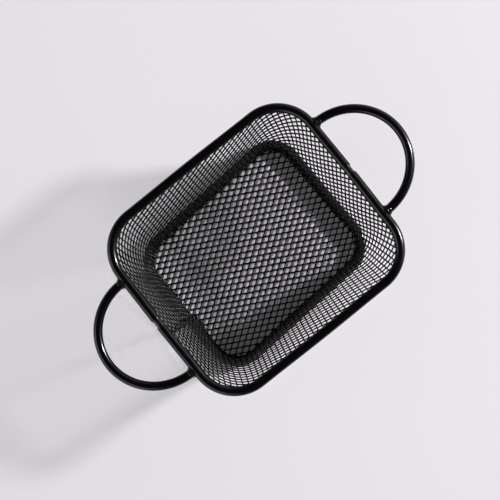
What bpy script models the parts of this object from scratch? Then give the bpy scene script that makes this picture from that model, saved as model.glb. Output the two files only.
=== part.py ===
"""Chip serving basket: an expanded-mesh body between two slit-tube rings, with two welded wire handles.

Lengths are in metres. X runs along the basket's long side, Y along its short side and Z up.
The origin is on the table, under the middle of the basket.
"""

from math import acos, asin, atan2, ceil, cos, floor, hypot, pi, radians, sin, sqrt

import bmesh
import bpy
from mathutils import Matrix, Vector

MM = 0.001

# Rim: a slit tube bent into two U-shaped halves that meet in the middle of the short sides
BASKET_HEIGHT = 50.0 * MM
RIM_LENGTH = 113.5 * MM
RIM_WIDTH = 100.0 * MM
RIM_CORNER_RADIUS = 21.3 * MM
RIM_SIDE_BOW = 0.25 * MM
RIM_TUBE_DIAMETER = 4.4 * MM
RIM_TUBE_WALL = 0.5 * MM
RIM_JOINT_PLACE = 1.5 * MM
RIM_JOINT_LENGTH = 3.2 * MM
RIM_JOINT_UNDERCUT = 0.4 * MM

# Base: a flat mesh panel, measured inside the wall's foot. Its edge sits in the slit of a ring, a
# slit tube pressed upright, with a round top, straight flanks and the slit low on its inner side
BASE_LENGTH = 78.5 * MM
BASE_WIDTH = 61.9 * MM
BASE_CORNER_RADIUS = 7.1 * MM
BASE_LONG_SIDE_TURN = radians(3.9)
BASE_SHORT_SIDE_TURN = radians(1.6)
BASE_RING_DIAMETER = 4.4 * MM
BASE_RING_HEIGHT = 6.9 * MM
BASE_RING_WALL = 0.5 * MM
BASE_RING_ROOM_UNDER_SLIT = 0.25 * MM
BASE_GRIP_DEPTH = 1.0 * MM

# Expanded mesh: the wall band laps over itself on the left short side, where spot welds hold it
MESH_THICKNESS = 0.5 * MM
WALL_FOOT_LEAN_SHARE = 0.7
SEAM_EDGE_PLACE = 2.4 * MM
SEAM_OVERLAP = 3.6 * MM
SEAM_BLEND = 12.0 * MM
SEAM_WELD_DIAMETER = 1.8 * MM
SEAM_WELD_THICKNESS = 0.4 * MM
SEAM_WELD_SETBACK = 1.9 * MM
SEAM_WELD_UPPER_HEIGHT = 31.6 * MM
SEAM_WELD_LOWER_HEIGHT = 25.5 * MM

# The base panel's net has the real mesh's diamonds, drawn wider here than the real 5.0 by 3.1 mm
NET_LONG_PITCH = 8.0 * MM
NET_SHORT_PITCH = 4.9 * MM
NET_STRAND_WIDTH = 1.0 * MM
NET_BORDER = 0.4 * MM

# The wall's net has the same diamonds standing on end, three times as wide as the real ones
WALL_NET_LONG_PITCH = 15.0 * MM
WALL_NET_SHORT_PITCH = 9.1 * MM
WALL_NET_STRAND_WIDTH = 1.9 * MM
WALL_NET_LEAST_OPENING = 0.1

# Handles: round wire bent to half an oval and welded to the rim's outer side
HANDLE_WIRE_DIAMETER = 4.2 * MM
HANDLE_REACH = 26.6 * MM
HANDLE_SPAN = 50.8 * MM
HANDLE_RIGHT_PLACE = 2.4 * MM
HANDLE_LEFT_PLACE = 0.2 * MM
HANDLE_WELD_LENGTH = 1.2 * MM
HANDLE_WELD_SPREAD = 6.8 * MM
HANDLE_WELD_HEIGHT = 4.0 * MM
HANDLE_WELD_HOLLOW = 1.5

CLEARANCE = 0.3 * MM

# Facets
SIDE_STEPS = 3
CORNER_STEPS = 8
TUBE_STEPS = 16
BORE_STEPS = 8
WELD_STEPS = 16
WELD_FILLET_STEPS = 3
HANDLE_STEPS = 28
HANDLE_BEVEL_RESOLUTION = 4
SMALL_STEP = 0.01
SHARP_ANGLE = radians(40)

GLOSS_BLACK = (0.006, 0.006, 0.007, 1.0)


class Outline:
    """A rounded rectangle. Its place s runs counterclockwise from 0 to 4, one for each quadrant,
    from the middle of the +X side. The middle third of each quadrant is its corner."""

    def __init__(self, length, width, corner_radius, bow=0.0, long_turn=0.0, short_turn=0.0):
        self.half_x = length / 2
        self.half_y = width / 2
        self.radius = corner_radius
        self.bow = bow
        self.x_axis = Vector((cos(long_turn), sin(long_turn), 0))
        self.y_axis = Vector((-sin(short_turn), cos(short_turn), 0))

    def quadrant_point(self, quadrant, f):
        """Point and outward direction in a quadrant turned back to the first one."""
        a, b = self.half_x, self.half_y
        if quadrant % 2:
            a, b = b, a
        r = self.radius
        if f < 1 / 3:
            g = 3 * f
            return (a + self.bow * cos(pi * g / 2) ** 2, g * (b - r)), (1, 0)
        if f > 2 / 3:
            g = 3 - 3 * f
            return (g * (a - r), b + self.bow * cos(pi * g / 2) ** 2), (0, 1)
        turn = (3 * f - 1) * pi / 2
        return (a - r + r * cos(turn), b - r + r * sin(turn)), (cos(turn), sin(turn))

    def place(self, s):
        """The point and the outward direction at s, both horizontal."""
        quadrant = floor(s)
        (x, y), (nx, ny) = self.quadrant_point(quadrant % 4, s - quadrant)
        for _ in range(quadrant % 4):
            x, y, nx, ny = -y, x, -ny, nx
        point = x * self.x_axis + y * self.y_axis
        along = -ny * self.x_axis + nx * self.y_axis
        return point, Vector((along.y, -along.x, 0)).normalized()

    def short_side_place(self, left, y):
        """The s at y on a short side, measured from the middle of that side."""
        step = y / (3 * (self.half_y - self.radius))
        return 2 - step if left else step

    def side_x(self, y):
        """How far out the right side lies at y, round the start of its corner too."""
        past = abs(y) - (self.half_y - self.radius)
        if past > 0:
            return self.half_x - self.radius + sqrt(self.radius**2 - past**2)
        return self.place(self.short_side_place(False, y))[0].x


def stations(start, end):
    """Places from start to end that share the outlines' own steps."""
    quadrant = [i / (3 * SIDE_STEPS) for i in range(SIDE_STEPS)]
    quadrant += [1 / 3 + i / (3 * CORNER_STEPS) for i in range(CORNER_STEPS)]
    quadrant += [2 / 3 + i / (3 * SIDE_STEPS) for i in range(SIDE_STEPS)]
    every = [q + f for q in range(floor(start), ceil(end) + 1) for f in quadrant]
    inner = [s for s in every if start + SMALL_STEP < s < end - SMALL_STEP]
    return [start] + inner + [end]


RIM_RADIUS = RIM_TUBE_DIAMETER / 2
RING_RADIUS = BASE_RING_DIAMETER / 2
WIRE_RADIUS = HANDLE_WIRE_DIAMETER / 2
RIM_Z = BASKET_HEIGHT - RIM_RADIUS
RING_SLIT = MESH_THICKNESS + 2 * CLEARANCE
RING_Z = RING_SLIT / 2 + BASE_RING_ROOM_UNDER_SLIT + BASE_RING_WALL
RING_FLANK = BASE_RING_HEIGHT - RING_Z - RING_RADIUS
WALL_FOOT_Z = RING_Z + MESH_THICKNESS / 2 + CLEARANCE
WALL_RISE = RIM_Z - WALL_FOOT_Z

RIM = Outline(
    RIM_LENGTH - RIM_TUBE_DIAMETER,
    RIM_WIDTH - RIM_TUBE_DIAMETER,
    RIM_CORNER_RADIUS - RIM_RADIUS,
    bow=RIM_SIDE_BOW,
)
BASE = Outline(
    BASE_LENGTH,
    BASE_WIDTH,
    BASE_CORNER_RADIUS,
    long_turn=BASE_LONG_SIDE_TURN,
    short_turn=BASE_SHORT_SIDE_TURN,
)


def lean(s, share):
    """The wall's angle from vertical across the rim, where its slope is share times the mean slope."""
    top, outward = RIM.place(s)
    foot, _ = BASE.place(s)
    return atan2(share * (top - foot).dot(outward), WALL_RISE)


def top_lean(s):
    return lean(s, 2 - WALL_FOOT_LEAN_SHARE)


WHOLE_ROUND = stations(0, 4)[:-1]
LAP_STEP = (MESH_THICKNESS + CLEARANCE) / cos(max(top_lean(s) for s in WHOLE_ROUND))
RIM_SLIT = 2 * MESH_THICKNESS + 3 * CLEARANCE
FOOT_LEAN = max(lean(s, WALL_FOOT_LEAN_SHARE) for s in WHOLE_ROUND)
RING_TOP_OVER_FOOT = (RING_Z + RING_FLANK - WALL_FOOT_Z) * sin(FOOT_LEAN)
RING_OUTSET = (MESH_THICKNESS + CLEARANCE + RING_RADIUS + RING_TOP_OVER_FOOT) / cos(FOOT_LEAN)
PANEL_OUTSET = RING_OUTSET - RING_RADIUS + BASE_RING_WALL + BASE_GRIP_DEPTH

SEAM_START = RIM.short_side_place(True, -SEAM_EDGE_PLACE)
SEAM_LAP_END = RIM.short_side_place(True, -SEAM_EDGE_PLACE - SEAM_OVERLAP)
SEAM_BLEND_END = RIM.short_side_place(True, -SEAM_EDGE_PLACE - SEAM_OVERLAP - SEAM_BLEND)


def lap_share(s):
    """1 where the band runs inside its own other end, falling smoothly to 0 past the lap."""
    g = min(max((s - SEAM_LAP_END) / (SEAM_BLEND_END - SEAM_LAP_END), 0), 1)
    return 1 - g * g * (3 - 2 * g)


def wall_point(s, t):
    """The middle of the wall band at s, where t runs from 0 at its foot to 1 in the rim."""
    foot, foot_out = BASE.place(s)
    top, top_out = RIM.place(s)
    foot += foot_out * (MESH_THICKNESS / 2 - LAP_STEP * lap_share(s))
    top += top_out * LAP_STEP * (0.5 - lap_share(s))
    spread = WALL_FOOT_LEAN_SHARE * t + (1 - WALL_FOOT_LEAN_SHARE) * t * t
    return foot.lerp(top, spread) + Vector((0, 0, WALL_FOOT_Z + WALL_RISE * t))


def open_arc(radius, slit, facing, steps):
    """Points from lip to lip round a circle that a slit opens on the facing side."""
    lip = asin(slit / 2 / radius)
    turns = [facing + lip + (2 * pi - 2 * lip) * i / steps for i in range(steps + 1)]
    return [(radius * cos(turn), radius * sin(turn)) for turn in turns]


def slit_tube_section(radius, wall, slit, facing):
    """Corners of a slit tube's section, with the slit facing an angle measured from outward to up."""
    outside = open_arc(radius, slit, facing, TUBE_STEPS)
    bore = open_arc(radius - wall, slit, facing, BORE_STEPS)
    return outside + bore[::-1]


def upright_arc(radius, drop, slit, steps):
    """Points over the foot ring's round top, down its outer flank and under it, from the upper lip of
    its slit to the lower one. The slit faces in, and drop is how far its round underside reaches."""
    over = [pi - pi * i / steps for i in range(steps + 1)]
    under = [-(pi - asin(slit / 2 / drop)) * i / steps for i in range(steps + 1)]
    arc = [(-radius, slit / 2)]
    arc += [(radius * cos(turn), RING_FLANK + radius * sin(turn)) for turn in over]
    arc += [(radius * cos(turn), drop * sin(turn)) for turn in under]
    return arc


def notched_rod_section(radius, slit, depth, facing):
    """Corners of a round rod's section with a square groove that runs depth past its centre."""
    corners = open_arc(radius, slit, facing, TUBE_STEPS)
    for side in (-1, 1):
        u = -depth * cos(facing) - side * slit / 2 * sin(facing)
        w = -depth * sin(facing) + side * slit / 2 * cos(facing)
        corners.append((u, w))
    return corners


def round_section(radius):
    turns = [2 * pi * i / TUBE_STEPS for i in range(TUBE_STEPS)]
    return [(radius * cos(turn), radius * sin(turn)) for turn in turns]


def paint(name, roughness):
    """Gloss black paint over steel."""
    material = bpy.data.materials.new(name)
    material.use_nodes = True
    shader = material.node_tree.nodes["Principled BSDF"]
    shader.inputs["Base Color"].default_value = GLOSS_BLACK
    shader.inputs["Metallic"].default_value = 0.0
    shader.inputs["Roughness"].default_value = roughness
    return material


def add_object(name, bm, material):
    """Turns a bmesh into an object with its faces pointing out."""
    bmesh.ops.recalc_face_normals(bm, faces=bm.faces)
    mesh = bpy.data.meshes.new(name)
    bm.to_mesh(mesh)
    bm.free()
    mesh.shade_smooth()
    mesh.set_sharp_from_angle(angle=SHARP_ANGLE)
    obj = bpy.data.objects.new(name, mesh)
    if material:
        mesh.materials.append(material)
    bpy.context.collection.objects.link(obj)
    return obj


def as_cutter(obj):
    obj.hide_render = True
    obj.display_type = "WIRE"
    return obj


def boolean(obj, cutter, operation):
    modifier = obj.modifiers.new(operation.lower(), "BOOLEAN")
    modifier.operation = operation
    modifier.solver = "EXACT"
    modifier.object = cutter


def sweep(name, outline, outset, height, places, section_at, material, closed=False):
    """Carries a section round an outline. section_at gives its corners at a place, outward and up."""
    bm = bmesh.new()
    rings = []
    for s in places:
        point, outward = outline.place(s)
        ring = []
        for u, w in section_at(s):
            ring.append(bm.verts.new(point + outward * (outset + u) + Vector((0, 0, height + w))))
        rings.append(ring)
    following = rings[1:] + (rings[:1] if closed else [])
    for near, far in zip(rings, following):
        for i in range(len(near)):
            bm.faces.new((near[i - 1], near[i], far[i], far[i - 1]))
    if not closed:
        bm.faces.new(rings[0])
        bm.faces.new(rings[-1])
    return add_object(name, bm, material)


def rim_section(s):
    """The slit faces down along the wall that enters it."""
    return slit_tube_section(RIM_RADIUS, RIM_TUBE_WALL, RIM_SLIT, -pi / 2 - top_lean(s))


def rim_joint_section(s):
    depth = LAP_STEP / 2 * sin(top_lean(s)) + CLEARANCE
    return notched_rod_section(RIM_RADIUS - RIM_JOINT_UNDERCUT, RIM_SLIT, depth, -pi / 2 - top_lean(s))


def ring_section(_):
    """The underside is flattened where the basket stands."""
    drop = RING_Z / cos(2 * pi / TUBE_STEPS)
    outside = upright_arc(RING_RADIUS, drop, RING_SLIT, TUBE_STEPS // 2)
    bore = upright_arc(RING_RADIUS - BASE_RING_WALL, RING_Z - BASE_RING_WALL, RING_SLIT, BORE_STEPS // 2)
    return [(u, max(w, -RING_Z)) for u, w in outside + bore[::-1]]


def make_rim(material, joint_material):
    """Two U-shaped halves, and the dressed welds that join their ends."""
    near = RIM_JOINT_PLACE - RIM_JOINT_LENGTH / 2
    far = RIM_JOINT_PLACE + RIM_JOINT_LENGTH / 2
    right = [RIM.short_side_place(False, y) for y in (near - CLEARANCE, near, far, far + CLEARANCE)]
    left = [RIM.short_side_place(True, y) for y in (near - CLEARANCE, near, far, far + CLEARANCE)]
    sweep("rim_half_back", RIM, 0, RIM_Z, stations(right[3], left[3]), rim_section, material)
    sweep("rim_half_front", RIM, 0, RIM_Z, stations(left[0], 4 + right[0]), rim_section, material)
    sweep("rim_joint_right", RIM, 0, RIM_Z, [right[1], right[2]], rim_joint_section, joint_material)
    sweep("rim_joint_left", RIM, 0, RIM_Z, [left[2], left[1]], rim_joint_section, joint_material)


def make_base_ring(material):
    """One slit tube bent right round, whose ends meet under the wall's seam."""
    half_gap = CLEARANCE / 2 / (3 * (BASE.half_y - BASE.radius))
    places = stations(2 + half_gap, 6 - half_gap)
    sweep("base_ring", BASE, RING_OUTSET, RING_Z, places, ring_section, material)


def walk_length(points):
    return sum((far - near).length for near, far in zip(points, points[1:]))


class WallNet:
    """Half-diamond steps on the wall: i counts them round it from the lap, j counts them up it.
    The diamonds' tips lie where i + j is odd, and their middles where it is even."""

    def __init__(self):
        girth = walk_length([wall_point(s, 0.5) for s in WHOLE_ROUND + [4]])
        slant = walk_length([wall_point(0, t) for t in (0, 0.5, 1)])
        self.columns = 2 * ceil(girth / WALL_NET_SHORT_PITCH - 0.5)
        self.rows = 2 * ceil(slant / WALL_NET_LONG_PITCH - 0.5)
        self.step = (4 + SEAM_START - SEAM_LAP_END) / self.columns

    def point(self, i, j):
        return wall_point(SEAM_LAP_END + i * self.step, j / self.rows)

    def tips(self, i, j):
        """The four tips of the diamond round (i, j). At an edge of the net its middle is one."""
        right = (min(i + 1, self.columns), j)
        top = (i, min(j + 1, self.rows))
        left = (max(i - 1, 0), j)
        bottom = (i, max(j - 1, 0))
        return [right, top, left, bottom]

    def opening(self, tips):
        """The four corners of the opening that leaves a strand's half width inside the tips."""
        right, top, left, bottom = [self.point(*tip) for tip in tips]
        long, short = (top - bottom).length, (right - left).length
        to_strand = long * short / hypot(long, short) / 2
        share = 1 - WALL_NET_STRAND_WIDTH / 2 / to_strand
        if share < WALL_NET_LEAST_OPENING:
            return None
        mid_i = sum(i for i, _ in tips) / 4
        mid_j = sum(j for _, j in tips) / 4
        return [self.point(mid_i + (i - mid_i) * share, mid_j + (j - mid_j) * share) for i, j in tips]


def make_wall(material):
    """The band from its inner end, once round and on behind itself to its outer end. It is a net of
    diamonds with a plain strip at each end, where the two ends lap."""
    net = WallNet()
    bm = bmesh.new()
    nodes = {}
    for i in range(net.columns + 1):
        for j in range(net.rows + 1):
            on_edge = i in (0, net.columns) or j in (0, net.rows)
            if (i + j) % 2 or on_edge:
                nodes[i, j] = bm.verts.new(net.point(i, j))
    for i in range(net.columns + 1):
        for j in range(i % 2, net.rows + 1, 2):
            tips = net.tips(i, j)
            corners = [nodes[tip] for tip in dict.fromkeys(tips)]
            opening = net.opening(tips) if len(corners) == 4 else None
            if not opening:
                bm.faces.new(corners)
                continue
            inner = [bm.verts.new(point) for point in opening]
            for k in range(4):
                bm.faces.new((corners[k - 1], corners[k], inner[k], inner[k - 1]))
    for i, end in ((0, SEAM_START), (net.columns, 4 + SEAM_LAP_END)):
        edge = [bm.verts.new(wall_point(end, j / net.rows)) for j in range(net.rows + 1)]
        for j in range(net.rows):
            bm.faces.new((edge[j], nodes[i, j], nodes[i, j + 1], edge[j + 1]))
    wall = add_object("wall_mesh", bm, material)
    solidify = wall.modifiers.new("thickness", "SOLIDIFY")
    solidify.thickness = MESH_THICKNESS
    solidify.offset = 0
    solidify.use_even_offset = True


def plate(name, outset, low, high, material):
    """A flat plate of the base outline's shape."""
    bm = bmesh.new()
    levels = []
    for z in (low, high):
        level = []
        for s in WHOLE_ROUND:
            point, outward = BASE.place(s)
            level.append(bm.verts.new(point + outward * outset + Vector((0, 0, z))))
        levels.append(level)
    bottom, top = levels
    for i in range(len(top)):
        bm.faces.new((bottom[i - 1], bottom[i], top[i], top[i - 1]))
    bm.faces.new(bottom)
    bm.faces.new(top)
    return add_object(name, bm, material)


def diamond_openings():
    """One diamond prism for each opening of the net whose middle lies inside the wall's foot."""
    bm = bmesh.new()
    half_long = NET_LONG_PITCH / 2
    half_short = NET_SHORT_PITCH / 2
    to_strand = half_long * half_short / hypot(half_long, half_short)
    open_share = 1 - NET_STRAND_WIDTH / 2 / to_strand
    corners = [(half_long, 0), (0, half_short), (-half_long, 0), (0, -half_short)]
    turn = Matrix.Rotation(BASE_LONG_SIDE_TURN, 3, "Z")
    columns = ceil(BASE.half_x / half_long)
    rows = ceil(BASE.half_y / half_short)
    for i in range(-columns, columns + 1):
        for j in range(-rows, rows + 1):
            x, y = i * half_long, j * half_short
            inside = abs(x) < BASE.half_x - NET_BORDER and abs(y) < BASE.half_y - NET_BORDER
            if (i + j) % 2 or not inside:
                continue
            levels = []
            for z in (RING_Z - MESH_THICKNESS, RING_Z + MESH_THICKNESS):
                level = []
                for dx, dy in corners:
                    corner = turn @ Vector((x + dx * open_share, y + dy * open_share, z))
                    level.append(bm.verts.new(corner))
                levels.append(level)
            bottom, top = levels
            bm.faces.new(bottom)
            bm.faces.new(top)
            for k in range(4):
                bm.faces.new((bottom[k - 1], bottom[k], top[k], top[k - 1]))
    return as_cutter(add_object("net_openings", bm, None))


def make_base_mesh(material):
    """A panel cut through with diamonds, its plain edge held in the ring."""
    low = RING_Z - MESH_THICKNESS / 2
    high = RING_Z + MESH_THICKNESS / 2
    panel = plate("base_mesh", PANEL_OUTSET, low, high, material)
    openings = diamond_openings()
    margin = 2 * MESH_THICKNESS
    limit = as_cutter(plate("net_limit", -NET_BORDER, low - margin, high + margin, None))
    boolean(openings, limit, "INTERSECT")
    boolean(panel, openings, "DIFFERENCE")


def make_rim_room():
    """A cutter that leaves the handle welds clear of the rim's tube all the way round."""
    section = round_section(RIM_RADIUS + CLEARANCE)
    return as_cutter(sweep("rim_room", RIM, 0, RIM_Z, WHOLE_ROUND, lambda s: section, None, closed=True))


def weld_face_x(y):
    """Where the handle's weld ends and its wire begins, on the right side at y."""
    return RIM.side_x(y) + RIM_RADIUS + CLEARANCE + HANDLE_WELD_LENGTH


def make_handle(name, side, place, material):
    """Half an oval of round wire in the rim's plane, each end square to the rim."""
    centre_x = RIM.half_x + RIM_RADIUS + CLEARANCE
    half_span = HANDLE_SPAN / 2
    ends = []
    for foot in (-1, 1):
        end_x = weld_face_x(place + foot * half_span) + CLEARANCE
        ends.append(foot * acos((end_x - centre_x) / HANDLE_REACH))
    curve = bpy.data.curves.new(name, "CURVE")
    curve.dimensions = "3D"
    curve.bevel_depth = WIRE_RADIUS
    curve.bevel_resolution = HANDLE_BEVEL_RESOLUTION
    curve.use_fill_caps = True
    spline = curve.splines.new("POLY")
    spline.points.add(HANDLE_STEPS)
    for i, point in enumerate(spline.points):
        turn = ends[0] + (ends[1] - ends[0]) * i / HANDLE_STEPS
        x = side * (centre_x + HANDLE_REACH * cos(turn))
        point.co = (x, place + half_span * sin(turn), RIM_Z, 1)
    curve.materials.append(material)
    handle = bpy.data.objects.new(name, curve)
    bpy.context.collection.objects.link(handle)


def make_handle_weld(name, side, y, rim_room, material):
    """A bead that spreads along the rim from the wire's end, hollowed to the rim's tube."""
    bm = bmesh.new()
    start = RIM.side_x(y) + RIM_RADIUS / 2
    end = weld_face_x(y)
    rings = []
    for step in range(WELD_FILLET_STEPS + 1):
        g = step / WELD_FILLET_STEPS
        x = side * (start + (end - start) * g)
        flare = (HANDLE_WELD_SPREAD / 2 - WIRE_RADIUS) * (1 - g) ** HANDLE_WELD_HOLLOW
        ring = []
        for i in range(WELD_STEPS):
            turn = 2 * pi * i / WELD_STEPS
            across = (WIRE_RADIUS + flare) * cos(turn)
            ring.append(bm.verts.new((x, y + across, RIM_Z + HANDLE_WELD_HEIGHT / 2 * sin(turn))))
        rings.append(ring)
    for near, far in zip(rings, rings[1:]):
        for i in range(WELD_STEPS):
            bm.faces.new((near[i - 1], near[i], far[i], far[i - 1]))
    bm.faces.new(rings[0])
    bm.faces.new(rings[-1])
    boolean(add_object(name, bm, material), rim_room, "DIFFERENCE")


def make_seam_weld(name, height, material):
    """A spot weld's nugget on the inner face of the wall's lap."""
    s = RIM.short_side_place(True, -SEAM_EDGE_PLACE - SEAM_WELD_SETBACK)
    t = (height - WALL_FOOT_Z) / WALL_RISE
    middle = wall_point(s, t)
    along = wall_point(s + SMALL_STEP, t) - middle
    up = wall_point(s, t + SMALL_STEP) - middle
    outward = along.cross(up).normalized()
    bm = bmesh.new()
    bmesh.ops.create_cone(
        bm,
        cap_ends=True,
        segments=WELD_STEPS,
        radius1=SEAM_WELD_DIAMETER / 2,
        radius2=SEAM_WELD_DIAMETER / 2,
        depth=SEAM_WELD_THICKNESS,
    )
    weld = add_object(name, bm, material)
    weld.location = middle - outward * (MESH_THICKNESS / 2 + CLEARANCE + SEAM_WELD_THICKNESS / 2)
    weld.rotation_euler = outward.to_track_quat("Z", "Y").to_euler()


for old in list(bpy.data.objects):
    bpy.data.objects.remove(old)

tube_paint = paint("painted_tube", 0.22)
mesh_paint = paint("painted_mesh", 0.35)
wire_paint = paint("painted_wire", 0.22)
weld_paint = paint("painted_weld", 0.3)

make_rim(tube_paint, weld_paint)
make_base_ring(tube_paint)
make_wall(mesh_paint)
make_base_mesh(mesh_paint)

rim_room = make_rim_room()
for side_name, side, place in (("right", 1, HANDLE_RIGHT_PLACE), ("left", -1, HANDLE_LEFT_PLACE)):
    make_handle(f"handle_{side_name}", side, place, wire_paint)
    for foot_name, foot in (("back", 1), ("front", -1)):
        foot_y = place + foot * HANDLE_SPAN / 2
        make_handle_weld(f"handle_weld_{side_name}_{foot_name}", side, foot_y, rim_room, weld_paint)

make_seam_weld("seam_weld_upper", SEAM_WELD_UPPER_HEIGHT, weld_paint)
make_seam_weld("seam_weld_lower", SEAM_WELD_LOWER_HEIGHT, weld_paint)

print("the ring's centre line stands", round(RING_OUTSET / MM, 2), "mm outside the wall's foot")
print("the wall's lap steps out", round(LAP_STEP / MM, 2), "mm")
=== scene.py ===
# %% [markdown]
# # Chip serving basket, seen from straight above
# A small basket for chips, made of black painted steel. Its body is expanded metal: sheet that is
# slit and pulled open into diamonds. A slit tube grips the top edge, a second one the bottom edge,
# and a wire handle is welded to each end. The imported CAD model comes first. Every piece below is
# made in its frame, in metres, with +X along the basket's long side and Z up from the table.

import bmesh
import bpy
import numpy as np
from mathutils import Matrix


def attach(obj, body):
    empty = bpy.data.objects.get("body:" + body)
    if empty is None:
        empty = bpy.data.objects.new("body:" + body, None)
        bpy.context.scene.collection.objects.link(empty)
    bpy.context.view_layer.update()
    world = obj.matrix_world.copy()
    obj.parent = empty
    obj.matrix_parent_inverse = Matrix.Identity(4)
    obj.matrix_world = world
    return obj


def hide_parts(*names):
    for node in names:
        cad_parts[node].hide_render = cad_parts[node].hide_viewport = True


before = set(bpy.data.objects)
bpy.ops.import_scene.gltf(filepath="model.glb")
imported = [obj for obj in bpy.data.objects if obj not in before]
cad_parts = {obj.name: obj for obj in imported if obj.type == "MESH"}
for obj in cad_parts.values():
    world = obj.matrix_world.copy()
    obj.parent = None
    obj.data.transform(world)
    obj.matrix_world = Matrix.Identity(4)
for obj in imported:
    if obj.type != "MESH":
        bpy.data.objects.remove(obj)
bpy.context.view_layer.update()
MM = 0.001

# %% [markdown]
# ## The camera
# The photograph was taken from about a metre above the rim, so the walls look short and the rim
# hides little. The camera stands a few centimetres to one side of the basket's middle, which is
# why one wall shows wider than the wall facing it. A long lens frames 224 mm at the rim. The
# basket lies at a slant in the picture, and IMAGE_RIGHT says which way the picture's right is.

# %% Camera
RIM_Z = 47.8 * MM
FRAME_WIDTH = 224.3 * MM
CAMERA_HEIGHT = 1000 * MM
LOOK_AT = np.array([-2.35, 1.46]) * MM
CAMERA_FOOT = np.array([-28.8, -25.1]) * MM
IMAGE_RIGHT = np.array([0.7814, -0.6240, 0.0])
SENSOR_WIDTH = 36.0


def direction(vector):
    """The vector scaled to length one."""
    return vector / np.linalg.norm(vector)


eye = np.array([*CAMERA_FOOT, RIM_Z + CAMERA_HEIGHT])
target = np.array([*LOOK_AT, RIM_Z])
view_back = direction(eye - target)
view_up = direction(np.cross(view_back, IMAGE_RIGHT))
view_right = np.cross(view_up, view_back)
camera_data = bpy.data.cameras.new("camera")
camera_data.sensor_width = SENSOR_WIDTH
camera_data.lens = SENSOR_WIDTH * np.linalg.norm(eye - target) / FRAME_WIDTH
camera = bpy.data.objects.new("camera", camera_data)
bpy.context.collection.objects.link(camera)
camera.matrix_world = Matrix([*np.c_[view_right, view_up, view_back, eye].tolist(), [0, 0, 0, 1]])
bpy.context.scene.camera = camera
print("lens", round(camera_data.lens, 1), "mm")

# %% [markdown]
# ## Lines that the pieces follow
# The rim and the foot of the wall are rounded rectangles. Both are walked by one number, the place
# s, which runs from 0 in the middle of the right side counterclockwise to 4. Each quarter of the
# way is a straight third, a corner third and a straight third, so the same s on both lines is one
# straight line down the wall. The foot line is skewed a little and stands half a millimetre to the
# left, as the hand-bent original's does.

# %% Outlines
RIM_SIZE = dict(length=109.1 * MM, width=95.6 * MM, corner_radius=19.1 * MM, bow=0.25 * MM)
BASE_SIZE = dict(
    length=81.0 * MM,
    width=64.6 * MM,
    corner_radius=10.3 * MM,
    long_turn=np.radians(3.9),
    short_turn=np.radians(1.6),
)
BASE_SHIFT = np.array([-0.5, 0.0]) * MM


def outline(s, length, width, corner_radius, bow=0.0, long_turn=0.0, short_turn=0.0):
    """Points and outward directions on a rounded rectangle at the places s, shapes (..., 2).

    A straight runs in proportion to its third of the quarter, and bow pushes its middle out by
    a squared cosine. A corner is a quarter circle. long_turn and short_turn lean the two axes.
    """
    quarter = np.floor(s).astype(int) % 4
    f = s - np.floor(s)
    half_a = np.where(quarter % 2, width, length) / 2
    half_b = np.where(quarter % 2, length, width) / 2
    first = np.clip(3 * f, 0, 1)
    last = np.clip(3 - 3 * f, 0, 1)
    turn = np.clip(3 * f - 1, 0, 1) * np.pi / 2
    first_straight = [half_a + bow * np.cos(np.pi * first / 2) ** 2, first * (half_b - corner_radius)]
    last_straight = [last * (half_a - corner_radius), half_b + bow * np.cos(np.pi * last / 2) ** 2]
    corner = [half_a - corner_radius * (1 - np.cos(turn)), half_b - corner_radius * (1 - np.sin(turn))]
    x, y = [
        np.where(f < 1 / 3, on_first, np.where(f > 2 / 3, on_last, on_corner))
        for on_first, on_last, on_corner in zip(first_straight, last_straight, corner)
    ]
    quarter_cos, quarter_sin = np.cos(quarter * np.pi / 2), np.sin(quarter * np.pi / 2)
    x, y = quarter_cos * x - quarter_sin * y, quarter_sin * x + quarter_cos * y
    angle = turn + quarter * np.pi / 2
    x_axis = np.array([np.cos(long_turn), np.sin(long_turn)])
    y_axis = np.array([-np.sin(short_turn), np.cos(short_turn)])
    points = x[..., None] * x_axis + y[..., None] * y_axis
    along = np.cos(angle)[..., None] * y_axis - np.sin(angle)[..., None] * x_axis
    outward = np.stack([along[..., 1], -along[..., 0]], -1)
    return points, outward / np.linalg.norm(outward, axis=-1, keepdims=True)


def rim_line(s):
    """The centre line of the rim's tube."""
    return outline(s, **RIM_SIZE)


def base_line(s):
    """The inner face of the wall's foot."""
    points, outward = outline(s, **BASE_SIZE)
    return points + BASE_SHIFT, outward


def short_side_place(left, y):
    """The place s of a point y on the rim's right or left side."""
    step = y / (3 * (RIM_SIZE["width"] / 2 - RIM_SIZE["corner_radius"]))
    return 2 - step if left else step


rim_points, _ = rim_line(np.linspace(0, 4, 2001))
rim_length = np.linalg.norm(np.diff(rim_points, axis=0), axis=1).sum()
print("round the rim:", round(rim_length / MM, 1), "mm")

# %% [markdown]
# ## From arrays to a mesh
# All the pieces come out of numpy as a block of points, so one helper turns such a block into a
# mesh. It joins each row of points to the next, closes the section round and fills both ends.
# The sign of the volume tells whether the faces look outwards, and they are flipped if not.

# %% Mesh helpers


def mesh_from(vertices, faces):
    """A bmesh of an array of points and a list of faces."""
    mesh = bpy.data.meshes.new("rows")
    mesh.from_pydata(vertices.tolist(), [], faces)
    bm = bmesh.new()
    bm.from_mesh(mesh)
    bpy.data.meshes.remove(mesh)
    return bm


def finish_mesh(name, bm):
    """Makes an object of a bmesh, smooth and with its faces outwards."""
    if bm.calc_volume(signed=True) < 0:
        bmesh.ops.reverse_faces(bm, faces=bm.faces)
    mesh = bpy.data.meshes.new(name)
    bm.to_mesh(mesh)
    bm.free()
    mesh.shade_smooth()
    obj = bpy.data.objects.new(name, mesh)
    bpy.context.collection.objects.link(obj)
    print(f"{name}: {sum(len(p.vertices) - 2 for p in mesh.polygons)} triangles")
    return obj


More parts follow.
